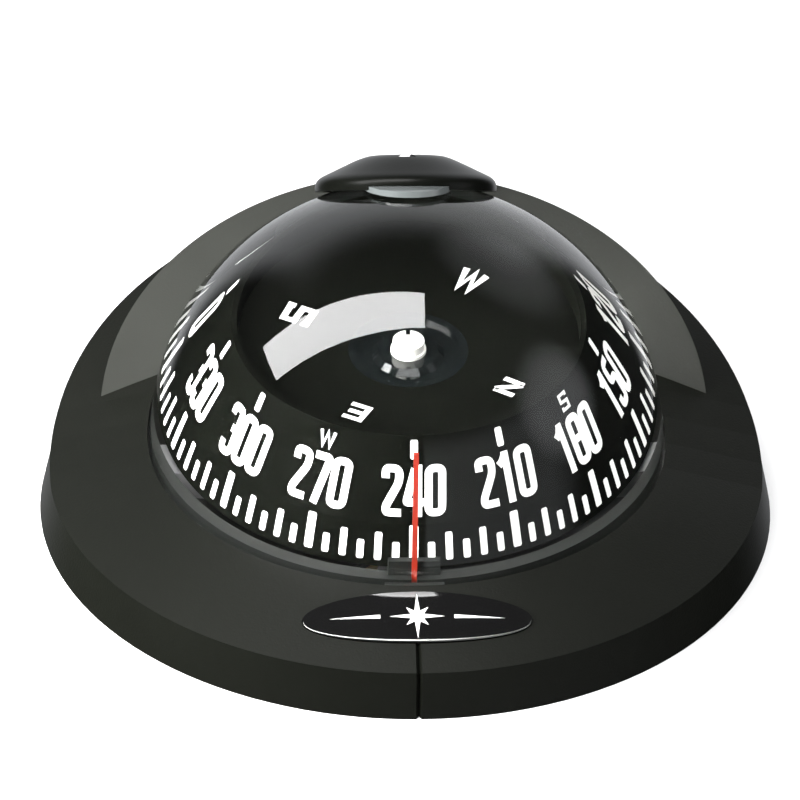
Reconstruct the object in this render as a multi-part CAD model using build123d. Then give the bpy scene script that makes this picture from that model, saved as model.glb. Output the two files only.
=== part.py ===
# Dome compass for flush mounting in a boat's panel or binnacle top. Millimetres.
# The origin is the centre of the cut-out, on the panel's face; +Z is up, -Y faces the reader.
# The fluid-filled dome and bowl hold a two-axis gimbal that carries the conical card.
from build123d import *
from math import atan, atan2, cos, degrees, radians, sin, sqrt, tan
import os

# ---- dome, bowl and what seals them -------------------------------------------------
DOME_RADIUS = 38.4  # outside of the clear dome
DOME_WALL = 2.0
DOME_CENTRE_Z = 10.3  # height of the sphere's centre above the panel
DOME_FLANGE_THICKNESS = 1.8
BOWL_WALL = 2.0
BOWL_FLANGE_THICKNESS = 2.6
FLOOR_RADIUS = 16.8  # flat bottom inside the bowl
FLOOR_THICKNESS = 3.5
BOSS_RADIUS = 17.6  # round boss under the floor
NECK_PROUD = 1.35  # skirt that locates in the panel cut-out, outside the bowl's own wall
NECK_DEPTH = 8.0
NECK_WALL = 1.75
GASKET_THICKNESS = 1.0
GASKET_GAP = 1.0  # around the neck
SEAL_WIDTH = 1.5
SEAL_HEIGHT = 1.2
SEAL_BEVEL = 0.35
CLAMP_PLATE = 1.2
CLAMP_ROOM = 9.1  # outside the clamp ring, for the panel screws and the grommet
CLAMP_RIM = 3.5  # clamp ring outside the dome's flange, where its screws go down
CLAMP_SCREW_COUNT = 8
CLAMP_SCREW_RADIUS = 1.1
CLAMP_HEAD_RADIUS = 1.9

# ---- bezel, badge, hood and lamp ----------------------------------------------------
BEZEL_WIDTH = 16.35  # from the opening to the rim at the panel
BEZEL_WALL = 1.8
RIM_HEIGHT = 6.8
RIM_DRAFT = 1.6  # how far the rim leans in over its height
CONE_RISE = 4.26  # from the rim's top edge to the opening
REAR_SLOPE = 0.28  # how steeply the rim's top edge climbs behind the centre
REAR_BLEND = 12.0  # the climb starts gently, this far before the centre
REAR_STEPS = 4
REAR_LIMIT = 40.0  # height that nothing of the bezel reaches
CREASE_LIFT = 0.4  # above the rim's front edge, the rim stands upright
OPENING_GAP = 0.35
GROOVE_WIDTH = 0.8
GROOVE_DEPTH = 0.6
GROOVE_LENGTH = 5.0  # up the cone from its lower edge
CLIP_COUNT = 6
CLIP_WIDTH = 8.0
BADGE_HALF_WIDTH = 16.1
BADGE_HALF_HEIGHT = 4.4
BADGE_RECESS = 0.6
BADGE_PROUD = 0.3
HOOD_GAP = 0.6  # between the hood and the dome
HOOD_BASE = 8.3  # hood's thickness at the bezel, beyond that gap
HOOD_HEIGHT = 34.7  # vertical half-axis of the hood's ellipsoid
HOOD_LIFT = 1.6  # ellipsoid's centre above the dome's centre
HOOD_FRONT = 8.1  # where the front face meets the bezel, behind the centre
HOOD_LEAN = 57.1  # front face's angle above the horizontal
LAMP_TILT = 31.0  # lamp cover's axis, behind the vertical
LAMP_RADIUS = 13.6
LAMP_HEIGHT = 3.85  # crown of the lamp cover above the dome
LAMP_SKIRT = 1.6  # how far the cover's rim drops below the dome's top there
LAMP_WALL = 1.1
NOTCH_WIDTH = 1.4
NOTCH_DEPTH = 0.4
LENS_THICKNESS = 0.8
LENS_RADIUS = 6.6
LENS_REACH = 2.1  # lens showing beyond the front of the lamp cover
BOARD_SIZE = (9.0, 5.0, 0.6)
CABLE_RADIUS = 1.0
CABLE_SET_BACK = 2.5  # from the opening to the cable's hole up into the hood
CABLE_RISE = 13.4  # how far that blind hole goes above the cone's top
GROMMET_LIP = 2.6

# ---- gimbal, cradle and card --------------------------------------------------------
AXIS_Z = 6.5  # both gimbal axes, and the centre of the card's swing
BEARING_DEPTH = 5.2  # from the gimbal ring's outside to the bowl's inside
RING_WIDTH = 3.0
RING_HEIGHT = 4.0
PIN_RADIUS = 0.8
PIN_CLEARANCE = 0.05
SWING_GAP = 0.55  # between the swinging card and the gimbal ring
CARD_WALL = 1.2
CARD_HEIGHT = 18.1  # from the gimbal axes to the card's top edge
CARD_BAND = 5.5  # height of the steep band with the degree marks
CARD_SKIRT = 1.8  # bottom of that band above the gimbal axes
CARD_DISH = 3.0  # depth of the sunk top
HUB_RADIUS = 6.6
FLOAT_WIDTH = 9.0
FLOAT_THICKNESS = 4.0
CAP_RADIUS = 1.75
POST_RADIUS = 1.5
BAR_WIDTH = 6.0
BAR_HEIGHT = 3.0
STEM_RADIUS = 2.5
WEIGHT_RADIUS = 11.0
WEIGHT_THICKNESS = 6.0
WEIGHT_GAP = 2.6  # between the swinging counterweight and the bowl's floor
MAGNET_RADIUS = 1.6
MAGNET_LENGTH = 14.0
MAGNET_SPACING = 14.0
LUBBER_WIDTH = 0.7
LUBBER_THICKNESS = 0.6
LUBBER_TOP = 21.1  # above the gimbal axes

# ---- underside ----------------------------------------------------------------------
PANEL_HOLE_RADIUS = 1.8
PANEL_CIRCLE_MARGIN = 6.3
DIAPHRAGM_RADIUS = 12.4
DIAPHRAGM_THICKNESS = 0.8
BELLOWS_RADIUS = 8.0
COVER_THICKNESS = 3.0
COVER_SCREW_RADIUS = 1.0
BLOCK_WIDTH = 15.0
SPINDLE_RADIUS = 1.5
SPINDLE_STEP = 3.9  # height between the two crossing spindles
PLUG_RADIUS = 2.5
PLUG_ANGLE = 50.0  # filling plug, below the horizontal at the rear

# ---- sizes that follow from the ones above ------------------------------------------
fluid_radius = DOME_RADIUS - DOME_WALL
flange_bottom = GASKET_THICKNESS
flange_top = flange_bottom + BOWL_FLANGE_THICKNESS
dome_flange_top = flange_top + DOME_FLANGE_THICKNESS
clamp_top = dome_flange_top + CLAMP_PLATE
opening_radius = DOME_RADIUS + OPENING_GAP
bezel_radius = opening_radius + BEZEL_WIDTH
clamp_radius = bezel_radius - CLAMP_ROOM
dome_flange_radius = clamp_radius - CLAMP_RIM
clamp_circle = (dome_flange_radius + clamp_radius) / 2 + 0.1
neck_radius = fluid_radius + BOWL_WALL + NECK_PROUD
shoulder_radius = bezel_radius - RIM_DRAFT
cone_top = RIM_HEIGHT + CONE_RISE
cone_slope = atan2(CONE_RISE, shoulder_radius - opening_radius)
cone_drop = BEZEL_WALL / cos(cone_slope)  # the wall, measured straight down
skirt_inner = bezel_radius - BEZEL_WALL
bowl_flange_radius = skirt_inner - RIM_DRAFT * flange_top / RIM_HEIGHT - 0.45
floor_z = DOME_CENTRE_Z - sqrt(fluid_radius**2 - FLOOR_RADIUS**2)
boss_z = floor_z - FLOOR_THICKNESS
ring_outer = fluid_radius - BEARING_DEPTH
ring_inner = ring_outer - RING_WIDTH
swing_radius = ring_inner - SWING_GAP
card_top_z = AXIS_Z + CARD_HEIGHT
card_top_radius = sqrt(swing_radius**2 - CARD_HEIGHT**2)
dish_z = card_top_z - CARD_DISH
panel_circle = bezel_radius - PANEL_CIRCLE_MARGIN
hood_inner = DOME_RADIUS + HOOD_GAP
cable_circle = clamp_radius + GROMMET_LIP + 0.3


def disc(radius, bottom, top):
    return Pos(0, 0, bottom) * extrude(Circle(radius), top - bottom)


def ring(inner, outer, bottom, top):
    return disc(outer, bottom, top) - disc(inner, bottom - 1, top + 1)


def block(width, depth, bottom, top):
    return Pos(0, 0, bottom) * extrude(Rectangle(width, depth), top - bottom)


def turned(points):
    # A solid of revolution about Z from its half-outline of (radius, height) points.
    return revolve(Plane.XZ * make_face(Polyline(*points, close=True)), Axis.Z)


def ball(radius, z):
    return Pos(0, 0, z) * Sphere(radius)


def around(count, radius, first=0.0):
    return [Rot(0, 0, first + 360 * k / count) * Pos(radius, 0, 0) for k in range(count)]


def rod(radius, start, end):
    # A straight round bar between two points.
    a = Vector(*start)
    b = Vector(*end)
    plane = Plane(origin=a, z_dir=b - a)
    return plane * extrude(Circle(radius), (b - a).length)


def cone_height(radius):
    # Height of the bezel's conical face.
    return RIM_HEIGHT + (shoulder_radius - radius) * tan(cone_slope)


def under_cone(drop):
    # All that lies under the bezel's face, lowered by drop: the cone and its tilted copies.
    inner = opening_radius - 3
    outer = bezel_radius + 12
    cap = turned(
        [
            (0, -60),
            (outer, -60),
            (outer, cone_height(outer) - drop),
            (inner, cone_height(inner) - drop),
            (0, cone_height(inner) - drop),
        ]
    )
    whole = cap
    for step in range(1, REAR_STEPS + 1):
        share = step / REAR_STEPS
        hinge = -REAR_BLEND * (1 - share)
        tilt = degrees(atan(REAR_SLOPE * share))
        whole += Pos(0, hinge, RIM_HEIGHT) * Rot(tilt, 0, 0) * Pos(0, -hinge, -RIM_HEIGHT) * cap
    return whole


def save(name, *solids):
    shape = solids[0] if len(solids) == 1 else Compound(children=list(solids))
    shape.label = name
    export_step(shape, f"parts/{name}.step")


os.makedirs("parts", exist_ok=True)

# ---- badge: an oval plate let into the cone in front ---------------------------------
badge_radius = (opening_radius + shoulder_radius) / 2 - 1.9
badge_plane = Plane(
    origin=(0, -badge_radius, cone_height(badge_radius)),
    x_dir=(1, 0, 0),
    z_dir=(0, -sin(cone_slope), cos(cone_slope)),
)


def badge_oval(clearance):
    oval = Ellipse(BADGE_HALF_WIDTH + clearance, BADGE_HALF_HEIGHT + clearance)
    return badge_plane * Pos(0, 0, -4) * extrude(oval, 8)


def cone_layer(low, high):
    # A layer that follows the cone, from low to high above its face.
    inner = opening_radius - 1
    outer = shoulder_radius + 1
    return turned(
        [
            (inner, cone_height(inner) + low),
            (outer, cone_height(outer) + low),
            (outer, cone_height(outer) + high),
            (inner, cone_height(inner) + high),
        ]
    )


save("badge", badge_oval(0) & cone_layer(-BADGE_RECESS, BADGE_PROUD))

# ---- bezel: the conical trim ring that clips over the flanges -------------------------
rim_lean = atan2(RIM_DRAFT, RIM_HEIGHT)
lean_top = RIM_HEIGHT + CREASE_LIFT
rear_radius = bezel_radius - lean_top * tan(rim_lean)
outside = turned(
    [(0, 0), (bezel_radius, 0), (rear_radius, lean_top), (rear_radius, REAR_LIMIT), (0, REAR_LIMIT)]
)
inside = turned(
    [
        (0, -1),
        (skirt_inner + tan(rim_lean), -1),
        (rear_radius - BEZEL_WALL, lean_top),
        (rear_radius - BEZEL_WALL, REAR_LIMIT),
        (0, REAR_LIMIT),
    ]
)
bezel = (outside & under_cone(0)) - (inside & under_cone(cone_drop)) - disc(opening_radius, -1, REAR_LIMIT)
bezel = bezel.solid()
bezel -= badge_oval(0.1) & cone_layer(-BADGE_RECESS, 5)
groove_face = make_face(
    Polyline((-GROOVE_WIDTH, GROOVE_DEPTH), (0, -GROOVE_DEPTH), (GROOVE_WIDTH, GROOVE_DEPTH), close=True)
)
groove_start = shoulder_radius - GROOVE_LENGTH
cone_groove = Plane(
    origin=(0, -groove_start, cone_height(groove_start)),
    x_dir=(1, 0, 0),
    z_dir=(0, -cos(cone_slope), -sin(cone_slope)),
) * extrude(groove_face, GROOVE_LENGTH + 4)
rim_groove = Plane(
    origin=(0, -bezel_radius - sin(rim_lean), -cos(rim_lean)),
    x_dir=(-1, 0, 0),
    z_dir=(0, sin(rim_lean), cos(rim_lean)),
) * extrude(groove_face, RIM_HEIGHT + 3)
bezel = bezel - cone_groove - rim_groove
clip_lip = turned(
    [
        (skirt_inner + 0.5, 0.15),
        (skirt_inner + 0.5, flange_bottom - 0.1),
        (bowl_flange_radius - 0.3, flange_bottom - 0.1),
        (bowl_flange_radius - 0.1, 0.15),
    ]
)
for place in around(CLIP_COUNT, bezel_radius - 3, 30):
    bezel += clip_lip & (place * block(8, CLIP_WIDTH, -1, 2))
cable_y = opening_radius + CABLE_SET_BACK
cable_rise = rod(CABLE_RADIUS + 0.4, (0, cable_y, 0), (0, cable_y, cone_top + CABLE_RISE))
bezel -= cable_rise
save("bezel", bezel)

# ---- hood: the shade behind the dome, seated on the bezel -----------------------------
lean = radians(HOOD_LEAN)
hood_centre_z = DOME_CENTRE_Z + HOOD_LIFT
hood_radius = hood_inner + HOOD_BASE - 0.25  # a little under the full width on the bezel
hood_outline = Plane.XZ * make_face(
    [
        EllipticalCenterArc((0, 0), hood_radius, HOOD_HEIGHT, start_angle=0, arc_size=90),
        Line((0, HOOD_HEIGHT), (0, -12)),
        Line((0, -12), (hood_radius, -12)),
        Line((hood_radius, -12), (hood_radius, 0)),
    ]
)
hood = Pos(0, 0, hood_centre_z) * revolve(hood_outline, Axis.Z)
front_plane = Plane(
    origin=(0, HOOD_FRONT, cone_height(hood_radius)),
    x_dir=(1, 0, 0),
    z_dir=(0, -sin(lean), cos(lean)),
)
hood -= front_plane * extrude(Rectangle(200, 300), 150)
lamp_frame = Pos(0, 0, DOME_CENTRE_Z) * Rot(-LAMP_TILT, 0, 0)
cover_base = DOME_RADIUS - LAMP_SKIRT
cover_crown = DOME_RADIUS + LAMP_HEIGHT


def cover_solid(inset):
    # The lamp cover's rounded outside, or its inside when inset.
    radius = LAMP_RADIUS - inset
    rise = cover_crown - inset - cover_base
    outline = Plane.XZ * make_face(
        [
            Line((0, cover_base), (radius, cover_base)),
            Line((radius, cover_base), (radius, cover_base + 0.08 * rise)),
            Spline(
                (radius, cover_base + 0.08 * rise),
                (0.87 * radius, cover_base + 0.47 * rise),
                (0.5 * radius, cover_base + 0.9 * rise),
                (0, cover_base + rise),
                tangents=((0, 1), (-1, 0)),
            ),
            Line((0, cover_base + rise), (0, cover_base)),
        ]
    )
    return revolve(outline, Axis.Z)


def saddle(gap):
    # The hood's tongue, which passes under the back of the lamp cover.
    width = 2 * (LAMP_RADIUS - LAMP_WALL - 1.6 + gap)
    footprint = Pos(0, 11, hood_inner - 12) * extrude(Rectangle(width, 16), 20)
    return Sphere(hood_inner + 1.0 + gap) & footprint


def lens_space(gap):
    # All that lies under the round lens's outer face, which shows below the front of the cover.
    space = Sphere(hood_inner - 0.1 + LENS_THICKNESS + gap)
    place = Pos(0, LENS_RADIUS - LAMP_RADIUS - LENS_REACH, hood_inner - 6)
    return space & (place * extrude(Circle(LENS_RADIUS + gap), 20))


hood -= lamp_frame * cover_solid(-0.1)
hood += lamp_frame * saddle(0)
hood -= ball(hood_inner, DOME_CENTRE_Z)
hood -= disc(hood_inner, -20, DOME_CENTRE_Z)
hood -= under_cone(0)
hood -= cable_rise
save("hood", hood)

# ---- lamp cover, lens, board and diode ------------------------------------------------
cover = cover_solid(0) - cover_solid(LAMP_WALL)
cover = cover - saddle(0.1) - lens_space(0.1)
notch_face = make_face(
    Polyline((-NOTCH_WIDTH, NOTCH_DEPTH), (0, -NOTCH_DEPTH), (NOTCH_WIDTH, NOTCH_DEPTH), close=True)
)
notch = Plane(origin=(0, -LAMP_RADIUS, cover_crown), x_dir=(1, 0, 0), z_dir=(0, 1, 0))
notch = notch * extrude(notch_face, 2 * LAMP_RADIUS)
cover -= notch
save("lamp_cover", lamp_frame * cover)
save("lamp_lens", lamp_frame * (lens_space(0) - Sphere(hood_inner - 0.1)))
board_z = cover_crown - LAMP_WALL - 0.45 - BOARD_SIZE[2]
board = Pos(0, 0, board_z) * extrude(Rectangle(BOARD_SIZE[0], BOARD_SIZE[1]), BOARD_SIZE[2])
save("lamp_board", lamp_frame * board)
diode_height = 0.3
diode = Pos(0, -1, board_z - diode_height) * extrude(Rectangle(1.6, 1.2), diode_height)
save("lamp_diode", lamp_frame * diode)

# ---- dome, its seal, clamp ring and screws --------------------------------------------
dome = ball(DOME_RADIUS, DOME_CENTRE_Z)
dome -= disc(DOME_RADIUS + 1, DOME_CENTRE_Z - DOME_RADIUS - 1, DOME_CENTRE_Z)
dome += disc(DOME_RADIUS, flange_top, DOME_CENTRE_Z)
dome += disc(dome_flange_radius, flange_top, dome_flange_top)
dome -= ball(fluid_radius, DOME_CENTRE_Z) - disc(fluid_radius + 1, -99, DOME_CENTRE_Z)
dome -= disc(fluid_radius, flange_top - 1, DOME_CENTRE_Z)
save("dome", dome)
seal_radius = (fluid_radius + dome_flange_radius) / 2 + 0.6
seal_inner = seal_radius - SEAL_WIDTH / 2
seal_outer = seal_radius + SEAL_WIDTH / 2
seal_foot = flange_top - SEAL_HEIGHT
seal = turned(
    [
        (seal_inner + SEAL_BEVEL, seal_foot),
        (seal_outer - SEAL_BEVEL, seal_foot),
        (seal_outer, seal_foot + SEAL_BEVEL),
        (seal_outer, flange_top - SEAL_BEVEL),
        (seal_outer - SEAL_BEVEL, flange_top),
        (seal_inner + SEAL_BEVEL, flange_top),
        (seal_inner, flange_top - SEAL_BEVEL),
        (seal_inner, seal_foot + SEAL_BEVEL),
    ]
)
save("dome_seal", seal)
clamp = ring(dome_flange_radius + 0.15, clamp_radius, flange_top, clamp_top)
clamp += ring(DOME_RADIUS + 0.25, clamp_radius, dome_flange_top, clamp_top)
screw_clearance = CLAMP_SCREW_RADIUS + 0.15
head_depth = CLAMP_HEAD_RADIUS - CLAMP_SCREW_RADIUS
clamp_places = around(CLAMP_SCREW_COUNT, clamp_circle, 22.5)
hung = (Align.CENTER, Align.CENTER, Align.MAX)  # a cone that reaches down from its top face
for place in clamp_places:
    clamp -= place * disc(screw_clearance, flange_top - 1, clamp_top + 1)
    sink = Cone(screw_clearance, CLAMP_HEAD_RADIUS + 0.15, head_depth, align=hung)
    clamp -= place * Pos(0, 0, clamp_top) * sink
save("clamp_ring", clamp)
clamp_screws = []
for place in clamp_places:
    head = Cone(CLAMP_SCREW_RADIUS, CLAMP_HEAD_RADIUS, head_depth, align=hung)
    screw = Pos(0, 0, clamp_top) * head
    screw += disc(CLAMP_SCREW_RADIUS, flange_top - 2.0, clamp_top - head_depth)
    screw -= Pos(0, 0, clamp_top - 0.4) * extrude(Rectangle(2 * CLAMP_HEAD_RADIUS + 1, 0.5), 1)
    clamp_screws.append(place * screw)
save("clamp_screws", *clamp_screws)

# ---- bowl: holds the fluid and hangs through the panel --------------------------------
bowl = ball(fluid_radius + BOWL_WALL, DOME_CENTRE_Z) - disc(99, flange_top, 99)
bowl += ring(fluid_radius, bowl_flange_radius, flange_bottom, flange_top)
bowl += ring(neck_radius - NECK_WALL, neck_radius, -NECK_DEPTH, flange_top)
bowl += disc(BOSS_RADIUS, boss_z, floor_z)
bowl -= disc(99, boss_z - 99, boss_z)
plug_frame = Pos(0, 0, DOME_CENTRE_Z) * Rot(-(90 + PLUG_ANGLE), 0, 0)
plug_seat = fluid_radius + BOWL_WALL + 1.6
bowl += plug_frame * disc(PLUG_RADIUS + 2.4, fluid_radius + 0.5, plug_seat)
bowl -= plug_frame * disc(PLUG_RADIUS + 0.1, 0, plug_seat + 1)
bowl -= ball(fluid_radius, DOME_CENTRE_Z) - disc(99, floor_z - 99, floor_z)
bowl -= ring(seal_inner - 0.05, seal_outer + 0.05, seal_foot, 99)
bowl -= disc(BELLOWS_RADIUS, boss_z - 1, floor_z + 1)
cover_circle = DIAPHRAGM_RADIUS + 0.3 + COVER_SCREW_RADIUS + 0.35
for place in around(4, cover_circle, 45):
    bowl -= place * disc(COVER_SCREW_RADIUS, boss_z - 1, boss_z + FLOOR_THICKNESS - 0.8)
for place in clamp_places:
    bowl -= place * disc(CLAMP_SCREW_RADIUS, flange_top - 2.1, flange_top + 1)
panel_places = around(4, panel_circle, 45)
for place in panel_places:
    bowl -= place * disc(PANEL_HOLE_RADIUS, -1, 9)
grommet_place = Pos(0, cable_circle, 0)
bowl -= grommet_place * disc(2 * CABLE_RADIUS, -1, 9)
save("bowl", bowl)
gasket = ring(neck_radius + GASKET_GAP, bowl_flange_radius - 0.9, 0, GASKET_THICKNESS)
for place in panel_places:
    gasket -= place * disc(PANEL_HOLE_RADIUS, -1, 9)
gasket -= grommet_place * disc(2 * CABLE_RADIUS, -1, 9)
save("panel_gasket", gasket)
grommet = disc(2 * CABLE_RADIUS, 0, flange_top + 1.0) + disc(GROMMET_LIP, flange_top, flange_top + 1.0)
grommet -= disc(CABLE_RADIUS, -1, 9)
save("cable_grommet", grommet_place * grommet)
plug = disc(PLUG_RADIUS, fluid_radius + 0.6, plug_seat + 2.4)
plug += disc(PLUG_RADIUS + 1.8, plug_seat + 0.5, plug_seat + 2.4)
plug -= Pos(0, 0, plug_seat + 1.6) * extrude(Rectangle(20, 0.9), 5)
save("filling_plug", plug_frame * plug)
save("plug_washer", plug_frame * ring(PLUG_RADIUS, PLUG_RADIUS + 1.7, plug_seat, plug_seat + 0.5))

# ---- diaphragm, its cover with the compensator block, and the cover's screws ----------
diaphragm_z = boss_z - DIAPHRAGM_THICKNESS
diaphragm = disc(DIAPHRAGM_RADIUS, diaphragm_z, boss_z)
diaphragm += ring(BELLOWS_RADIUS - 3.5, BELLOWS_RADIUS - 1.3, boss_z - 0.1, boss_z + 1.4)
save("diaphragm", diaphragm)
cover_top = diaphragm_z
cover_bottom = cover_top - COVER_THICKNESS
spindle_head = SPINDLE_RADIUS + 0.9
upper_z = cover_bottom - spindle_head - 0.5
lower_z = upper_z - SPINDLE_STEP
block_bottom = lower_z - SPINDLE_RADIUS - 0.6
housing = disc(BOSS_RADIUS, cover_bottom, cover_top)
housing += block(BLOCK_WIDTH, BLOCK_WIDTH, block_bottom, cover_bottom)
housing -= disc(BELLOWS_RADIUS, cover_top - 1.6, cover_top + 1)
spindle_bore = SPINDLE_RADIUS + PIN_CLEARANCE
half = BLOCK_WIDTH / 2
housing -= rod(spindle_bore, (0, -half - 1, upper_z), (0, half + 1, upper_z))
housing -= rod(spindle_bore, (-half - 1, 0, lower_z), (half + 1, 0, lower_z))
for place in around(4, cover_circle, 45):
    housing -= place * disc(COVER_SCREW_RADIUS + 0.15, cover_bottom - 1, cover_top + 1)
save("compensator_housing", housing)
cover_screws = []
for place in around(4, cover_circle, 45):
    screw = disc(COVER_SCREW_RADIUS, cover_bottom - 0.5, boss_z + FLOOR_THICKNESS - 1.0)
    screw += disc(1.9 * COVER_SCREW_RADIUS, cover_bottom - 1.4, cover_bottom)
    screw -= Pos(0, 0, cover_bottom - 1.9) * extrude(Rectangle(9, 0.5), 1.0)
    cover_screws.append(place * screw)
save("cover_screws", *cover_screws)


def spindle():
    # Along +Z, centred on the block: shank, slotted head in front, retaining clip behind.
    shank = disc(SPINDLE_RADIUS, -half - 1.9, half + 0.3)
    shank += disc(spindle_head, half + 0.3, half + 1.9)
    shank -= Pos(0, 0, half + 1.1) * extrude(Rectangle(9, 0.6), 2)
    shank -= ring(SPINDLE_RADIUS - 0.4, 9, -half - 1.1, -half - 0.5)
    return shank - rod(0.6, (-9, 0, 0), (9, 0, 0))


def spindle_clip():
    return ring(SPINDLE_RADIUS - 0.4, spindle_head, -half - 1.1, -half - 0.5)


reach = sqrt(SPINDLE_RADIUS**2 - 0.36)
magnet_pill = rod(0.6, (-reach, 0, 0), (reach, 0, 0))
upper_frame = Pos(0, 0, upper_z) * Rot(90, 0, 0)
lower_frame = Pos(0, 0, lower_z) * Rot(0, 90, 0)
save("north_south_spindle", upper_frame * spindle())
save("north_south_clip", upper_frame * spindle_clip())
save("north_south_magnet", upper_frame * magnet_pill)
save("east_west_spindle", lower_frame * spindle())
save("east_west_clip", lower_frame * spindle_clip())
save("east_west_magnet", lower_frame * magnet_pill)

# ---- roll bearings in the bowl, gimbal ring, pins and lubber line ----------------------
fluid_space = ball(fluid_radius - 0.02, DOME_CENTRE_Z) - disc(99, flange_top, 99)
fluid_space += disc(fluid_radius - 0.02, flange_top, DOME_CENTRE_Z)
bearing_inner = ring_outer + 0.9
bearings = []
for turn in (0, 180):
    post = Pos(0, -(bearing_inner + 10), AXIS_Z - 11.5) * extrude(Rectangle(8, 20), 11.5 + PIN_RADIUS + 1.2)
    post &= fluid_space
    post -= rod(PIN_RADIUS + PIN_CLEARANCE, (0, -20, AXIS_Z), (0, -bearing_inner - 3.0, AXIS_Z))
    bearings.append(Rot(0, 0, turn) * post.solid())
save("roll_bearings", *bearings)
boss_front = ring_inner + 1.4
gimbal = ring(ring_inner, ring_outer, AXIS_Z - RING_HEIGHT / 2, AXIS_Z + RING_HEIGHT / 2)
lug = Pos(0, -(ring_inner + boss_front) / 2 - 0.05, AXIS_Z - 1)
lug = lug * extrude(Rectangle(6.8, boss_front - ring_inner - 0.1), 5.1)
lug &= ring(ring_inner, ring_outer, 0, 99)
gimbal += lug
gimbal -= Pos(0, -boss_front - 2, AXIS_Z + 1.1) * extrude(Rectangle(LUBBER_WIDTH + 0.04, 4), 20)
for turn in (0, 180):
    gimbal -= Rot(0, 0, turn) * rod(PIN_RADIUS, (0, -ring_inner - 0.8, AXIS_Z), (0, -ring_outer - 1, AXIS_Z))
    gimbal -= Rot(0, 0, turn + 90) * rod(
        PIN_RADIUS + PIN_CLEARANCE, (0, -ring_inner + 1, AXIS_Z), (0, -ring_inner - 2.3, AXIS_Z)
    )
save("gimbal_ring", gimbal)
roll_pin = rod(PIN_RADIUS, (0, -ring_inner - 0.8, AXIS_Z), (0, -bearing_inner - 2.7, AXIS_Z))
save("roll_pins", roll_pin, Rot(0, 0, 180) * roll_pin)
lubber = Pos(0, -boss_front - LUBBER_THICKNESS / 2, AXIS_Z + 1.1)
lubber = lubber * extrude(Rectangle(LUBBER_WIDTH, LUBBER_THICKNESS), LUBBER_TOP - 1.1)
save("lubber_line", lubber)

# ---- cradle, pivot post and counterweight ---------------------------------------------
bar_half = ring_inner - 0.6
weight_reach = AXIS_Z - floor_z - WEIGHT_GAP
weight_bottom = AXIS_Z - sqrt(weight_reach**2 - WEIGHT_RADIUS**2)
weight_top = weight_bottom + WEIGHT_THICKNESS
bar_bottom = AXIS_Z - BAR_HEIGHT / 2 - 0.5
bar_top = bar_bottom + BAR_HEIGHT
cradle = block(2 * bar_half, BAR_WIDTH, bar_bottom, bar_top) & disc(bar_half, -99, 99)
cradle += disc(STEM_RADIUS, weight_top, bar_bottom + 0.5)
cradle += disc(STEM_RADIUS + 1.5, bar_bottom, bar_top)
cradle -= disc(1.0, weight_top - 1, weight_top + 5)
pitch_pins = []
for side in (-1, 1):
    inner_end = (side * (bar_half - 2.4), 0, AXIS_Z)
    outer_end = (side * (ring_inner + 2.0), 0, AXIS_Z)
    pitch_pins.append(rod(PIN_RADIUS, inner_end, outer_end))
    cradle -= rod(PIN_RADIUS, inner_end, (side * 99, 0, AXIS_Z))
cradle -= disc(POST_RADIUS, bar_top - 2.0, bar_top + 1)
save("cradle", cradle)
save("pitch_pins", *pitch_pins)
cap_bottom = dish_z - 3.8
needle_tip = cap_bottom - 0.35
post = turned(
    [
        (0, bar_top - 2.0),
        (POST_RADIUS, bar_top - 2.0),
        (POST_RADIUS, needle_tip - 2.6),
        (0.5, needle_tip - 1.6),
        (0.5, needle_tip - 0.8),
        (0.12, needle_tip),
        (0, needle_tip),
    ]
)
save("pivot_post", post)
save("counterweight", ring(1.15, WEIGHT_RADIUS, weight_bottom, weight_top))
weight_screw = disc(1.0, weight_bottom, weight_top + 4.8) + disc(2.1, weight_bottom - 1.2, weight_bottom)
weight_screw -= Pos(0, 0, weight_bottom - 1.8) * extrude(Rectangle(9, 0.5), 1.1)
save("counterweight_screw", weight_screw)

# ---- card: cone, clear hub, float, magnets, cap screw and jewel ------------------------
skirt_z = AXIS_Z + CARD_SKIRT
band_z = skirt_z + CARD_BAND
skirt_radius = sqrt(swing_radius**2 - CARD_SKIRT**2) - 1.0
band_radius = sqrt(swing_radius**2 - (band_z - AXIS_Z) ** 2) - 1.65
top_inner = card_top_radius - 0.8
dish_radius = card_top_radius - 1.6
card = turned(
    [
        (skirt_radius, skirt_z),
        (band_radius, band_z),
        (card_top_radius, card_top_z),
        (top_inner, card_top_z),
        (dish_radius, dish_z),
        (HUB_RADIUS, dish_z),
        (HUB_RADIUS, dish_z - CARD_WALL),
        (dish_radius + 0.2, dish_z - CARD_WALL),
        (band_radius - CARD_WALL, band_z),
        (skirt_radius - CARD_WALL, skirt_z),
    ]
)
save("card", card)
magnet_z = bar_top + 4.2
hub = turned(
    [
        (CAP_RADIUS * 0.7, cap_bottom + 0.9),
        (2.4, cap_bottom + 0.9),
        (2.4, magnet_z),
        (3.3, magnet_z),
        (3.3, dish_z - CARD_WALL - 0.6),
        (HUB_RADIUS + 1.6, dish_z - CARD_WALL - 0.6),
        (HUB_RADIUS + 1.6, dish_z - CARD_WALL),
        (HUB_RADIUS - 0.02, dish_z - CARD_WALL),
        (HUB_RADIUS - 0.02, dish_z),
        (HUB_RADIUS - 0.8, dish_z),
        (HUB_RADIUS - 0.8, dish_z - 0.5),
        (4.0, dish_z - 0.5),
        (3.3, dish_z + 0.1),
        (CAP_RADIUS * 0.7, dish_z + 0.1),
    ]
)
save("card_hub", hub)
float_top = dish_z - CARD_WALL - 0.6
float_inner = HUB_RADIUS + 1.8
float_outer = min(float_inner + FLOAT_WIDTH, dish_radius - 0.4)
save("card_float", ring(float_inner, float_outer, float_top - FLOAT_THICKNESS + 0.6, float_top + 0.6))
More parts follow.
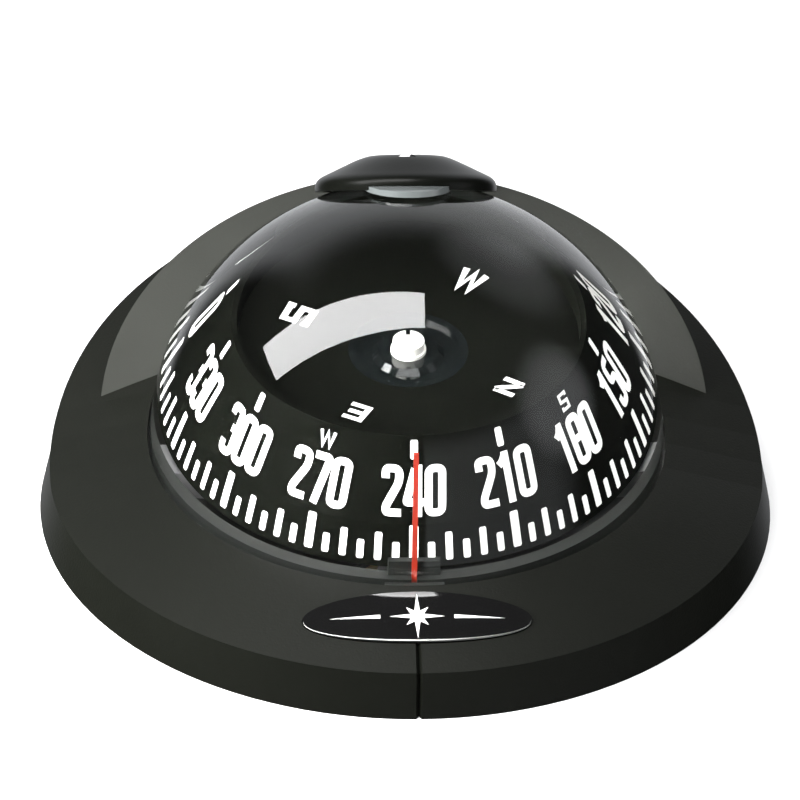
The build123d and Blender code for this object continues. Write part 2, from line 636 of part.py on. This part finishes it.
cap = disc(CAP_RADIUS * 0.7, cap_bottom + 0.9, dish_z + 0.1) + disc(CAP_RADIUS, dish_z + 0.3, dish_z + 1.6)
cap += disc(CAP_RADIUS + 0.2, dish_z + 0.1, dish_z + 0.5)
cap -= Pos(0, 0, dish_z + 1.0) * extrude(Rectangle(0.5, 9), 2)
save("pivot_cap", cap)
jewel = disc(1.2, cap_bottom - 0.3, cap_bottom + 0.9)
jewel -= Pos(0, 0, cap_bottom - 0.3) * Cone(1.0, 0.2, 0.9, align=(Align.CENTER, Align.CENTER, Align.MIN))
save("pivot_jewel", jewel)
carrier = ring(3.3, 4.6, magnet_z, magnet_z + 3.0)
carrier_bar = block(MAGNET_SPACING + 4.4, 5.0, magnet_z, magnet_z + 3.0) - disc(4.0, 0, 99)
carrier += carrier_bar
magnets = []
for side in (-1, 1):
    x = side * MAGNET_SPACING / 2
    magnet_ends = [(x, side_y * MAGNET_LENGTH / 2, magnet_z + 1.5) for side_y in (-1, 1)]
    bar = rod(MAGNET_RADIUS - 0.4, *magnet_ends)
    magnets.append(bar)
    carrier -= bar
save("magnet_carrier", carrier)
save("card_magnets", *magnets)
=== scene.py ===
# A dome compass as it sits in a boat's panel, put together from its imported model.
# The order is the camera, the bowl, the card with its print, the dome, the trim, then the panel
# and the light.
from math import atan2, cos, hypot, pi, radians, sin

import bmesh
import bpy
from mathutils import Matrix, Vector


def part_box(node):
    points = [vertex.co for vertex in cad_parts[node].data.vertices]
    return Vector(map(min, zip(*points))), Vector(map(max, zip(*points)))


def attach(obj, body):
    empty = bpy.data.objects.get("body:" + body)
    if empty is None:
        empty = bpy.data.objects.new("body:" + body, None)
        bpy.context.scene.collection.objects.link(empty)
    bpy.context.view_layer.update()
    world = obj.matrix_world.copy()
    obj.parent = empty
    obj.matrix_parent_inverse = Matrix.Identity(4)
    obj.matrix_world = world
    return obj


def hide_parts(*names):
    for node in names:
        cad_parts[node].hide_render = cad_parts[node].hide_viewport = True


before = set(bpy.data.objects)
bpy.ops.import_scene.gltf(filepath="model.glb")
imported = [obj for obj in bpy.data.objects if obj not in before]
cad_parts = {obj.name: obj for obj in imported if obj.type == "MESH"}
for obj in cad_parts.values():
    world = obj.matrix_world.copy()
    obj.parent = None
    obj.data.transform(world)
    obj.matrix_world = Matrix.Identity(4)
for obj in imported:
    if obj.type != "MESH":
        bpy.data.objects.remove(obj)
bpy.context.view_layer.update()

MM = 0.001

# ---- Camera ----------------------------------------------------------------------------
# It looks down at the front of the compass with a long lens, slightly turned and rolled.
camera_rise = radians(32.91)
camera_turn = radians(2.6)
camera_roll = radians(1.14)
camera_distance = 550 * MM
camera_aim = Vector((0, 0, 20 * MM))
back = Vector(
    (-sin(camera_turn) * cos(camera_rise), -cos(camera_turn) * cos(camera_rise), sin(camera_rise))
)
level_right = Vector((cos(camera_turn), -sin(camera_turn), 0))
level_up = back.cross(level_right)
right = cos(camera_roll) * level_right + sin(camera_roll) * level_up
up = cos(camera_roll) * level_up - sin(camera_roll) * level_right
camera_data = bpy.data.cameras.new("camera")
camera_data.lens = 166.7
camera_data.shift_x = -0.0096
camera_data.shift_y = -0.0212
camera = bpy.data.objects.new("camera", camera_data)
bpy.context.scene.collection.objects.link(camera)
camera.matrix_world = Matrix.Translation(camera_aim + back * camera_distance) @ Matrix(
    (right, up, back)
).transposed().to_4x4()
bpy.context.scene.camera = camera
bpy.context.scene.view_settings.view_transform = "Standard"

# ---- Bowl, its flange parts and what closes it from below --------------------------------
# The bowl is moulded in black glass-filled nylon, with a fine spark-eroded surface.
# It holds the fluid under the dome; rubber seals it, steel screws and a ring clamp it.


def add_node(tree, kind, **inputs):
    # One shader node, with its inputs set to values or joined to other nodes' outputs.
    node = tree.nodes.new(kind)
    for name, value in inputs.items():
        socket = node.inputs[name.replace("_", " ")]
        if isinstance(value, bpy.types.NodeSocket):
            tree.links.new(value, socket)
        else:
            socket.default_value = value
    return node


def rgba(colour):
    return (*colour, 1.0)


def finish_material(name, colour, roughness, grain, depth, mottle=0.12, **sockets):
    # A moulded, painted or turned surface: grain is its texture's size and depth its relief,
    # both in millimetres. mottle is how far colour and roughness wander over the piece.
    material = bpy.data.materials.new(name)
    material.use_nodes = True
    tree = material.node_tree
    shader = tree.nodes["Principled BSDF"]
    place = add_node(tree, "ShaderNodeTexCoord").outputs["Object"]
    fine = add_node(tree, "ShaderNodeTexNoise", Vector=place, Scale=1 / (grain * MM), Detail=3.0)
    broad = add_node(tree, "ShaderNodeTexNoise", Vector=place, Scale=90.0, Detail=2.0)
    relief = add_node(
        tree, "ShaderNodeBump", Height=fine.outputs["Fac"], Distance=depth * MM, Strength=1.0
    )
    tree.links.new(relief.outputs["Normal"], shader.inputs["Normal"])
    tone = tree.nodes.new("ShaderNodeMix")
    tone.data_type = "RGBA"
    tone.inputs["A"].default_value = rgba([c * (1 - mottle) for c in colour])
    tone.inputs["B"].default_value = rgba([min(1.0, c * (1 + mottle)) for c in colour])
    tree.links.new(broad.outputs["Fac"], tone.inputs["Factor"])
    tree.links.new(tone.outputs["Result"], shader.inputs["Base Color"])
    gloss = tree.nodes.new("ShaderNodeMapRange")
    gloss.inputs["To Min"].default_value = roughness * (1 - mottle / 2)
    gloss.inputs["To Max"].default_value = min(1.0, roughness * (1 + mottle / 2))
    tree.links.new(fine.outputs["Fac"], gloss.inputs["Value"])
    tree.links.new(gloss.outputs["Result"], shader.inputs["Roughness"])
    for socket, value in sockets.items():
        shader.inputs[socket.replace("_", " ")].default_value = value
    return material


def paint(material, *nodes):
    for node in nodes:
        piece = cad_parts[node]
        for slot in piece.material_slots:
            slot.material = material
        if not piece.material_slots:
            piece.data.materials.append(material)


nylon_black = finish_material("nylon_black", (0.014, 0.014, 0.013), 0.5, 0.35, 0.012)
rubber_black = finish_material("rubber_black", (0.010, 0.010, 0.010), 0.75, 0.20, 0.008)
steel_bright = finish_material(
    "steel_bright", (0.62, 0.61, 0.59), 0.26, 0.15, 0.001, mottle=0.08, Metallic=1.0
)
brass_turned = finish_material(
    "brass_turned", (0.72, 0.52, 0.24), 0.3, 0.15, 0.001, mottle=0.08, Metallic=1.0
)
magnet_grey = finish_material(
    "magnet_grey", (0.32, 0.32, 0.33), 0.35, 0.25, 0.003, mottle=0.1, Metallic=1.0
)
nylon_grey = finish_material("nylon_grey", (0.13, 0.13, 0.13), 0.5, 0.3, 0.008)
nylon_white = finish_material("nylon_white", (0.72, 0.71, 0.67), 0.42, 0.3, 0.006, mottle=0.06)
paint(nylon_black, "bowl", "clamp_ring", "compensator_housing")
paint(rubber_black, "panel_gasket", "dome_seal", "cable_grommet", "diaphragm", "plug_washer")
paint(steel_bright, "clamp_screws", "cover_screws", "counterweight_screw")
paint(steel_bright, "north_south_clip", "east_west_clip", "roll_pins", "pitch_pins")
paint(brass_turned, "filling_plug", "counterweight", "north_south_spindle", "east_west_spindle")
paint(magnet_grey, "north_south_magnet", "east_west_magnet", "card_magnets")
nylon_dark = finish_material(
    "nylon_dark", (0.010, 0.011, 0.010), 0.5, 0.3, 0.004, Specular_IOR_Level=0.15
)
paint(nylon_grey, "cradle", "magnet_carrier")
paint(nylon_dark, "roll_bearings", "gimbal_ring")

# ---- Card, float and pivot ---------------------------------------------------------------
# The conical card is a thin black aluminium pressing with a matt printed face. A foam float
# under it takes its weight off the jewel, which turns on the post's steel point.
card_black = finish_material(
    "card_black", (0.0022, 0.0025, 0.0018), 0.6, 0.3, 0.0, mottle=0.05, Specular_IOR_Level=0.02
)
foam_white = finish_material("foam_white", (0.75, 0.74, 0.70), 0.8, 0.5, 0.05, mottle=0.08)
jewel_red = finish_material(
    "jewel_red", (0.5, 0.02, 0.05), 0.05, 0.3, 0.0, mottle=0.1, Transmission_Weight=0.6
)
paint(card_black, "card")
paint(foam_white, "card_float")
paint(nylon_white, "pivot_cap")
paint(steel_bright, "pivot_post")
paint(jewel_red, "pivot_jewel")

# ---- Card print --------------------------------------------------------------------------
# White ink, screen printed on the card: a mark each 5 degrees on the steep band, a number
# each 30 degrees on the cone over it, and four letters on the sunk top.
INK = 0.04  # the ink's thickness, in millimetres, as are the other sizes here
band_foot = (26.59, 8.3)
band_top = (25.02, 13.8)
cone_brim = (20.90, 24.6)
dish_height = 21.6
ink_quads = []


def lay_on(foot, head, bearing, spin):
    # Gives the point on a cone, across and up from its lower edge, at a bearing from +Y.
    run, rise = head[0] - foot[0], head[1] - foot[1]
    slant = hypot(run, rise)
    lift = Vector((rise, 0, -run)) / slant * INK

    def place(across, along):
        radius = foot[0] + run * along / slant + lift.x
        height = foot[1] + rise * along / slant + lift.z
        turn = radians(bearing) + spin * across / radius
        return Vector((radius * sin(turn), radius * cos(turn), height)) * MM

    return place


def round_corners(points, radius, steps=5):
    # A line of points with its corners turned into short arcs; a closed one repeats its first.
    closed = points[0] == points[-1]
    corners = [Vector(p) for p in (points[:-1] if closed else points)]
    count = len(corners)
    made = []
    for k, corner in enumerate(corners):
        if not closed and k in (0, count - 1):
            made.append(corner)
            continue
        before = corners[k - 1] - corner
        after = corners[(k + 1) % count] - corner
        cut = min(radius, before.length / 2.05, after.length / 2.05)
        start = corner + before.normalized() * cut
        end = corner + after.normalized() * cut
        for s in range(steps + 1):
            t = s / steps
            made.append(start * (1 - t) ** 2 + corner * 2 * t * (1 - t) + end * t**2)
    if closed:
        made.append(made[0].copy())
    return made


def ink_stroke(points, width, place, radius=0.0, reach=0.7):
    # A band of ink along a line, cut into short pieces so that it follows the card's curve.
    line = round_corners(points, radius) if radius else [Vector(p) for p in points]
    closed = (line[0] - line[-1]).length < 1e-6
    fine = [line[0]]
    for a, b in zip(line, line[1:]):
        parts = max(1, int(abs((b - a).x) / reach + 0.5))
        fine += [a.lerp(b, (k + 1) / parts) for k in range(parts)]
    edges = []
    last = len(fine) - 1
    for k, point in enumerate(fine):
        before = fine[k - 1] if k else (fine[last - 1] if closed else None)
        after = fine[k + 1] if k < last else (fine[1] if closed else None)
        into = (point - before).normalized() if before is not None else (after - point).normalized()
        out = (after - point).normalized() if after is not None else into
        side = Vector((-(into + out).y, (into + out).x)).normalized()
        spread = width / 2 / max(0.45, side.dot(Vector((-into.y, into.x))))
        edges.append((point - side * spread, point + side * spread))
    for (a, b), (c, d) in zip(edges, edges[1:]):
        ink_quads.append([place(*p) for p in (a, c, d, b)])


def ink_mark(width, bottom, top, place):
    # A short straight bar with its corners eased.
    ease = 0.22
    ink_stroke([(0, bottom + ease), (0, top - ease)], width, place)
    for end, inner in ((bottom, bottom + ease), (top, top - ease)):
        half, narrow = width / 2, width / 2 - 0.6 * ease
        corners = [(-narrow, end), (-half, inner), (half, inner), (narrow, end)]
        ink_quads.append([place(*p) for p in corners])


digit_width = 1.72  # between the middles of a digit's two upright strokes
digit_height = 5.72
digit_step = 2.72
digit_lines = {
    "0": [[(0, 0), (1, 0), (1, 1), (0, 1), (0, 0)]],
    "1": [[(0.02, 0.80), (0.32, 0.86), (0.58, 1.0)], [(0.62, -0.087), (0.62, 1.087)]],
    "2": [[(0, 0.77), (0, 1), (1, 1), (1, 0.70), (0, 0.14), (0, 0), (1.12, 0)]],
    "3": [
        [(0, 0.80), (0, 1), (1, 1), (1, 0.56), (0.86, 0.53), (1, 0.50), (1, 0), (0, 0), (0, 0.20)],
        [(0.40, 0.53), (0.72, 0.53)],
    ],
    "4": [[(0.58, 1.0), (-0.02, 0.30), (-0.02, 0.24), (1.22, 0.24)], [(0.80, -0.087), (0.80, 1.087)]],
    "5": [[(1, 1), (0, 1), (0, 0.58), (1, 0.58), (1, 0), (0, 0), (0, 0.20)]],
    "6": [[(1, 0.80), (1, 1), (0, 1), (0, 0), (1, 0), (1, 0.56), (0.30, 0.56)]],
    "7": [[(-0.12, 1), (1, 1), (1, 0.88), (0.34, -0.087)]],
    "8": [[(0, 0), (1, 0), (1, 1), (0, 1), (0, 0)], [(0.29, 0.52), (0.71, 0.52)]],
    "9": [[(0, 0.20), (0, 0), (1, 0), (1, 1), (0, 1), (0, 0.44), (0.70, 0.44)]],
}
letter_lines = {
    "N": [[(0, 0), (0, 1)], [(0.06, 1), (0.94, 0)], [(1, 0), (1, 1)]],
    "E": [[(1, 1), (0, 1), (0, 0), (1, 0)], [(0.14, 0.5), (0.9, 0.5)]],
    "S": [[(1, 0.80), (1, 1), (0, 1), (0, 0.53), (1, 0.47), (1, 0), (0, 0), (0, 0.20)]],
    "W": [[(0, 1), (0.24, 0), (0.5, 0.9), (0.76, 0), (1, 1)]],
}


def ink_letter(lines, width, height, stroke, left, bottom, place, radius=0.0):
    for line in lines:
        points = [(left + x * width, bottom + y * height) for x, y in line]
        ink_stroke(points, stroke, place, radius)


for heading in range(0, 360, 5):
    # The mark's own bearing, with 240 at the front; the numbers run on to the left.
    bearing = heading - 60
    on_band = lay_on(band_foot, band_top, bearing, -1)
    if heading % 30 == 0:
        ink_mark(1.15, 0.82, 5.62, on_band)
    elif heading % 10 == 0:
        ink_mark(0.92, 0.82, 4.55, on_band)
    else:
        ink_mark(0.92, 0.82, 3.35, on_band)
for heading in range(0, 360, 30):
    on_cone = lay_on(band_top, cone_brim, heading - 60, -1)
    digits = str(heading)
    left = -((len(digits) - 1) * digit_step + digit_width) / 2
    for digit in digits:
        ink_letter(
            digit_lines[digit], digit_width, digit_height, 1.0, left, 1.50, on_cone, 0.75
        )
        left += digit_step
    if heading in (90, 180, 270):
        letter, width = {90: ("E", 1.25), 180: ("S", 1.25), 270: ("W", 1.9)}[heading]
        ink_letter(letter_lines[letter], width, 1.95, 0.42, -width / 2, 8.60, on_cone)
    else:
        ink_mark(0.95, 8.45, 10.95, on_cone)


def on_dish(bearing, middle):
    # On the sunk top, with letters that stand outwards from the pivot.
    turn = radians(bearing)
    outwards = Vector((sin(turn), cos(turn), 0))
    along = Vector((cos(turn), -sin(turn), 0))

    def place(across, outward):
        flat = outwards * (middle + outward) + along * across
        return (flat + Vector((0, 0, dish_height + INK))) * MM

    return place


for letter, bearing in {"W": 30, "N": 120, "E": -150, "S": -60}.items():
    ink_letter(
        letter_lines[letter], 2.3, 2.7, 0.72, -1.15, -1.35, on_dish(bearing, 13.2)
    )

ink_mesh = bpy.data.meshes.new("card_print")
print_shape = bmesh.new()
for quad in ink_quads:
    print_shape.faces.new([print_shape.verts.new(p) for p in quad])
bmesh.ops.remove_doubles(print_shape, verts=print_shape.verts, dist=0.002 * MM)
for face in print_shape.faces:
    face.normal_update()
    middle = face.calc_center_median()
    outside = Vector((middle.x, middle.y, 0)).normalized() * 0.3 + Vector((0, 0, 1))
    if face.normal.dot(outside) < 0:
        face.normal_flip()
print_shape.to_mesh(ink_mesh)
print_shape.free()
card_print = bpy.data.objects.new("card_print", ink_mesh)
bpy.context.scene.collection.objects.link(card_print)
ink_white = finish_material("ink_white", (0.90, 0.90, 0.87), 0.5, 0.15, 0.002, mottle=0.03)
card_print.data.materials.append(ink_white)
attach(card_print, "compass_card")

# ---- Hub cover over the pivot --------------------------------------------------------------
# A clear moulded dish that keeps the jewel on its point; its polished rims catch the light.
clear_hub = finish_material(
    "clear_hub", (0.004, 0.005, 0.005), 0.05, 1.5, 0.002, mottle=0.1, Coat_Weight=0.2
)
paint(clear_hub, "card_hub")

# ---- Lubber line ---------------------------------------------------------------------------
# A red enamelled needle standing on the gimbal ring, just clear of the card's edge.
enamel_red = finish_material(
    "enamel_red", (0.24, 0.018, 0.008), 0.35, 0.3, 0.004, mottle=0.08, Coat_Weight=0.3
)
paint(enamel_red, "lubber_line")

# ---- Dome ----------------------------------------------------------------------------------
# Clear cast acrylic, filled to the top with a fluid that bends light as much as it does.
# So the inner faces show no bend of their own, and the card looks larger than it is.
dome_low, dome_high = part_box("dome")
dome_radius = 38.4 * MM
dome_centre = dome_high.z - dome_radius
fluid_radius = 36.4 * MM
flange_radius = dome_high.x
flange_top = 5.4 * MM


def spun(name, outline, steps=256):
    # A closed half-outline of (radius, height) points turned round the upright axis.
    profile = bpy.data.meshes.new(name)
    profile.from_pydata([(r, 0, z) for r, z in outline], [(k, k + 1) for k in range(len(outline) - 1)], [])
    piece = bpy.data.objects.new(name, profile)
    bpy.context.scene.collection.objects.link(piece)
    screw = piece.modifiers.new("spin", "SCREW")
    screw.steps = screw.render_steps = steps
    screw.use_merge_vertices = True
    screw.merge_threshold = 0.001 * MM
    bpy.ops.object.select_all(action="DESELECT")
    piece.select_set(True)
    bpy.context.view_layer.objects.active = piece
    bpy.ops.object.modifier_apply(modifier="spin")
    bpy.ops.object.mode_set(mode="EDIT")
    bpy.ops.mesh.select_all(action="SELECT")
    bpy.ops.mesh.remove_doubles(threshold=0.001 * MM)
    bpy.ops.mesh.normals_make_consistent(inside=False)
    bpy.ops.object.mode_set(mode="OBJECT")
    bpy.ops.object.shade_smooth_by_angle(angle=radians(35))
    return piece


arc_steps = 72
outside_arc = [
    (dome_radius * sin(pi / 2 * k / arc_steps), dome_centre + dome_radius * cos(pi / 2 * k / arc_steps))
    for k in range(arc_steps + 1)
]
inside_arc = [
    (fluid_radius * sin(pi / 2 * k / arc_steps), dome_centre + fluid_radius * cos(pi / 2 * k / arc_steps))
    for k in range(arc_steps + 1)
]
dome_outline = (
    outside_arc
    + [(dome_radius, flange_top), (flange_radius, flange_top), (flange_radius, dome_low.z)]
    + [(fluid_radius, dome_low.z)]
    + inside_arc[::-1]
)
dome_glass = spun("dome_glass", dome_outline)
acrylic = bpy.data.materials.new("acrylic_clear")
acrylic.use_nodes = True
tree = acrylic.node_tree
shader = tree.nodes["Principled BSDF"]
shader.inputs["Base Color"].default_value = (0.97, 0.985, 0.98, 1)
shader.inputs["Roughness"].default_value = 0.0
shader.inputs["IOR"].default_value = 1.46
shader.inputs["Transmission Weight"].default_value = 1.0
light_path = tree.nodes.new("ShaderNodeLightPath")
through = tree.nodes.new("ShaderNodeBsdfTransparent")
choice = tree.nodes.new("ShaderNodeMixShader")
tree.links.new(light_path.outputs["Is Shadow Ray"], choice.inputs["Fac"])
tree.links.new(shader.outputs["BSDF"], choice.inputs[1])
tree.links.new(through.outputs["BSDF"], choice.inputs[2])
tree.links.new(choice.outputs["Shader"], tree.nodes["Material Output"].inputs["Surface"])
fluid_side = bpy.data.materials.new("fluid_side")
fluid_side.use_nodes = True
tree = fluid_side.node_tree
tree.nodes.remove(tree.nodes["Principled BSDF"])
through = tree.nodes.new("ShaderNodeBsdfTransparent")
tree.links.new(through.outputs["BSDF"], tree.nodes["Material Output"].inputs["Surface"])
dome_glass.data.materials.append(acrylic)
dome_glass.data.materials.append(fluid_side)
between = (dome_radius + fluid_radius) / 2
for face in dome_glass.data.polygons:
    lifted = face.center - Vector((0, 0, dome_centre))
    reach = lifted.length if lifted.z > 0 else hypot(lifted.x, lifted.y)
    face.material_index = 1 if reach < between else 0
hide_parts("dome")
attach(dome_glass, "case")

# ---- Bezel and badge ------------------------------------------------------------------------
# The bezel is moulded in black plastic with a fine matt texture, and clips over the flanges.
# The badge is a plain glossy oval plate, glued in a recess in front.
bezel_black = finish_material(
    "bezel_black", (0.0040, 0.0044, 0.0033), 0.45, 0.35, 0.03, Specular_IOR_Level=0.08
)
gloss_black = finish_material("gloss_black", (0.004, 0.004, 0.004), 0.05, 2.0, 0.0005, Coat_Weight=0.6)
paint(bezel_black, "bezel")
paint(gloss_black, "badge")

# ---- Badge's star and bright edge -------------------------------------------------------------
# A plain eight-pointed star, pad printed in white on the badge, between two short tapered rules.
# The badge's lower edge carries a bright metal strip, a painted highlight for the reflection along that
# edge; it follows the bezel's cone as the badge does.
badge_middle = 44.225
badge_half = (16.1, 4.4)
cone_fall = 4.26 / 14.75


def on_badge(across, upwards, lift):
    y = -badge_middle + upwards * cos(atan2(cone_fall, 1))
    height = 6.8 + (53.5 - hypot(across, y)) * cone_fall + 0.3 + lift
    return Vector((across, y, height)) * MM


star_shape = bmesh.new()
for k in range(8):
    point = 3.9 if k % 2 == 0 else 2.2
    turn = pi / 4 * k
    tip = on_badge(point * sin(turn), point * cos(turn), 0.03)
    hub_point = on_badge(0, 0, 0.03)
    for side in (-1, 1):
        notch = on_badge(0.98 * sin(turn + side * pi / 8), 0.98 * cos(turn + side * pi / 8), 0.03)
        star_shape.faces.new([star_shape.verts.new(p) for p in (hub_point, notch, tip)])
for side in (-1, 1):
    for k in range(12):
        near, far = 5.2 + 0.6 * k, 5.8 + 0.6 * k
        half_near, half_far = 0.32 * (1 - k / 12), 0.32 * (1 - (k + 1) / 12)
        corners = [(near, -half_near), (far, -half_far), (far, half_far), (near, half_near)]
        star_shape.faces.new([star_shape.verts.new(on_badge(side * u, v, 0.03)) for u, v in corners])
bmesh.ops.remove_doubles(star_shape, verts=star_shape.verts, dist=0.002 * MM)
for face in star_shape.faces:
    face.normal_update()
    if face.normal.z < 0:
        face.normal_flip()
star_mesh = bpy.data.meshes.new("badge_star")
star_shape.to_mesh(star_mesh)
star_shape.free()
badge_star = bpy.data.objects.new("badge_star", star_mesh)
bpy.context.scene.collection.objects.link(badge_star)
badge_star.data.materials.append(ink_white)
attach(badge_star, "case")
edge_shape = bmesh.new()
edge_loops = []
for k in range(81):
    turn = pi + pi * k / 80
    thick = 0.20 * sin(pi * k / 80) + 0.03
    loop = []
    for s in range(8):
        swing = 2 * pi * s / 8
        inwards = 0.12 - thick * cos(swing)
        u = (badge_half[0] - inwards) * cos(turn)
        v = (badge_half[1] - inwards) * sin(turn)
        loop.append(edge_shape.verts.new(on_badge(u, v, thick * sin(swing) * 0.7 - 0.02)))
    edge_loops.append(loop)
for first, second in zip(edge_loops, edge_loops[1:]):
    for s in range(8):
        edge_shape.faces.new((first[s - 1], second[s - 1], second[s], first[s]))
edge_shape.faces.new(edge_loops[0])
edge_shape.faces.new(edge_loops[-1][::-1])
bmesh.ops.recalc_face_normals(edge_shape, faces=edge_shape.faces)
edge_mesh = bpy.data.meshes.new("badge_edge")
edge_shape.to_mesh(edge_mesh)
edge_shape.free()
badge_edge = bpy.data.objects.new("badge_edge", edge_mesh)
bpy.context.scene.collection.objects.link(badge_edge)
for face in badge_edge.data.polygons:
    face.use_smooth = True
# Painted highlight: a bright metal strip, thickest at the bottom middle, stands in for the reflection along
# the badge's lower edge.
edge_painted_highlight = finish_material("edge_painted_highlight", (0.42, 0.43, 0.41), 0.3, 0.3, 0.001, mottle=0.05, Metallic=1.0)
badge_edge.data.materials.append(edge_painted_highlight)
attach(badge_edge, "case")

# ---- Hood, lamp cover and lamp ----------------------------------------------------------------
# The hood is moulded with the same texture as the bezel; its lighter colour is painted light, so that it
# reads as lit. The cover over the lamp is smoother, and the lamp's clear lens shows as a thin light strip
# under its front edge; its light grey colour is partly a painted glint.
# Painted light: the hood is the bezel's black plastic, given about six times its colour so that its face
# reads as lit.
hood_painted_light = finish_material(
    "hood_painted_light", (0.024, 0.025, 0.022), 0.5, 0.35, 0.03, mottle=0.15, Specular_IOR_Level=0.15
)
cover_black = finish_material(
    "cover_black", (0.003, 0.0033, 0.0026), 0.30, 0.5, 0.002, Specular_IOR_Level=0.08
)
# Partly painted highlight: a real lens, whose light grey colour also stands in for the glint along its
# strip.
lens_smoke_and_glint = finish_material(
    "lens_smoke_and_glint", (0.10, 0.11, 0.11), 0.15, 1.0, 0.002, mottle=0.05, Coat_Weight=0.5
)
board_green = finish_material("board_green", (0.02, 0.10, 0.04), 0.4, 0.4, 0.004)
diode_red = finish_material("diode_red", (0.6, 0.03, 0.02), 0.2, 0.4, 0.001)
paint(hood_painted_light, "hood")
paint(cover_black, "lamp_cover")
paint(lens_smoke_and_glint, "lamp_lens")
paint(board_green, "lamp_board")
paint(diode_red, "lamp_diode")

# ---- Panel underneath, and the light --------------------------------------------------------
# A plain pale panel with the round cut-out the bowl hangs through, and soft studio light.
hole_radius = 40.6 * MM
panel_mesh = bpy.data.meshes.new("panel")
panel_shape = bmesh.new()
rings = [hole_radius, 0.08, 0.2, 0.6, 5.0]
loops = []
for radius in rings:
    loops.append(
        [
            panel_shape.verts.new((radius * cos(2 * pi * k / 128), radius * sin(2 * pi * k / 128), -0.00003))
            for k in range(128)
        ]
    )
for inner, outer in zip(loops, loops[1:]):
    for k in range(128):
        panel_shape.faces.new((inner[k - 1], outer[k - 1], outer[k], inner[k]))
bmesh.ops.recalc_face_normals(panel_shape, faces=panel_shape.faces)
for face in panel_shape.faces:
    if face.normal.z < 0:
        face.normal_flip()
panel_shape.to_mesh(panel_mesh)
panel_shape.free()
panel = bpy.data.objects.new("panel", panel_mesh)
bpy.context.scene.collection.objects.link(panel)
panel_white = finish_material("panel_white", (0.86, 0.86, 0.86), 0.85, 2.0, 0.001, mottle=0.01)
panel.data.materials.append(panel_white)
panel.visible_glossy = False


def softbox(name, direction, distance, length, width, radiance, along=(0, 0, 1)):
    # A flat soft light that faces the dome; radiance is its brightness seen head on.
    data = bpy.data.lights.new(name, "AREA")
    data.shape = "RECTANGLE"
    data.size = length
    data.size_y = width
    data.energy = radiance * pi * length * width
    lamp = bpy.data.objects.new(name, data)
    bpy.context.scene.collection.objects.link(lamp)
    back_to = Vector(direction).normalized()
    x_side = (Vector(along) - back_to * Vector(along).dot(back_to)).normalized()
    y_side = back_to.cross(x_side)
    lamp.matrix_world = Matrix.Translation(Vector((0, 0, 0.02)) + back_to * distance) @ Matrix(
        (x_side, y_side, back_to)
    ).transposed().to_4x4()
    lamp.visible_camera = False
    return lamp


box = softbox("box_over_left", (-0.44, 0.0, 0.90), 0.6, 0.75, 0.21, 19.0, along=(1, 0, 0))
box.visible_diffuse = False
softbox("card_right", (0.75, -0.55, 0.15), 0.7, 0.8, 0.7, 0.6, along=(0.6, 0.8, 0)).visible_glossy = False
softbox("low_left", (-0.80, -0.45, 0.40), 0.22, 0.14, 0.14, 34.0, along=(0, 0, 1)).visible_glossy = False
softbox("top_fill", (0.0, -0.15, 1.0), 1.6, 1.6, 1.6, 4.4, along=(1, 0, 0)).visible_glossy = False

world = bpy.data.worlds.new("studio")
bpy.context.scene.world = world
world.use_nodes = True
sky = world.node_tree
towards = add_node(sky, "ShaderNodeTexCoord").outputs["Generated"]
axes = add_node(sky, "ShaderNodeSeparateXYZ", Vector=towards).outputs


def combine(operation, first, second=0.0):
    node = sky.nodes.new("ShaderNodeMath")
    node.operation = operation
    for socket, value in zip(node.inputs, (first, second)):
        if isinstance(value, bpy.types.NodeSocket):
            sky.links.new(value, socket)
        else:
            socket.default_value = value
    return node.outputs["Value"]


def ramp(value, start, end, low, high):
    # Goes smoothly from low to high as value goes from start to end.
    node = add_node(sky, "ShaderNodeMapRange", Value=value)
    node.interpolation_type = "SMOOTHSTEP"
    for socket, number in zip(node.inputs[1:5], (start, end, low, high)):
        socket.default_value = number
    return node.outputs["Result"]


def glow(direction, inner, outer, radiance):
    # A round patch of the studio's walls, full within inner degrees and gone at outer.
    aim = sky.nodes.new("ShaderNodeVectorMath")
    aim.operation = "DOT_PRODUCT"
    sky.links.new(towards, aim.inputs[0])
    aim.inputs[1].default_value = Vector(direction).normalized()
    return ramp(aim.outputs["Value"], cos(radians(outer)), cos(radians(inner)), 0.0, radiance)


wall = ramp(combine("ABSOLUTE", axes["X"]), 0.45, 0.65, 1.0, 0.0)
wall = combine("MULTIPLY", wall, ramp(axes["Z"], 0.40, 0.80, 1.0, 0.0))
wall = combine("MULTIPLY", wall, ramp(axes["Y"], 0.0, 0.15, 0.0, 1.0))
round_turn = combine("ARCTAN2", axes["X"], combine("MULTIPLY", axes["Y"], -1.0))
corner = ramp(round_turn, radians(5), radians(7), 0.0, 0.5)
corner = combine("MULTIPLY", corner, ramp(round_turn, radians(60), radians(80), 1.0, 0.0))
corner = combine("MULTIPLY", corner, ramp(axes["Z"], 0.4, 0.6, 1.0, 0.0))
total = combine("ADD", combine("ADD", wall, corner), glow((0.9, -0.15, 0.36), 3, 24, 1.4))
total = combine("ADD", total, glow((0.5, 0.55, 0.67), 8, 24, 0.5))
total = combine("ADD", total, 0.03)
backdrop = sky.nodes["Background"]
backdrop.inputs["Color"].default_value = (0.95, 0.97, 1.0, 1)
sky.links.new(total, backdrop.inputs["Strength"])
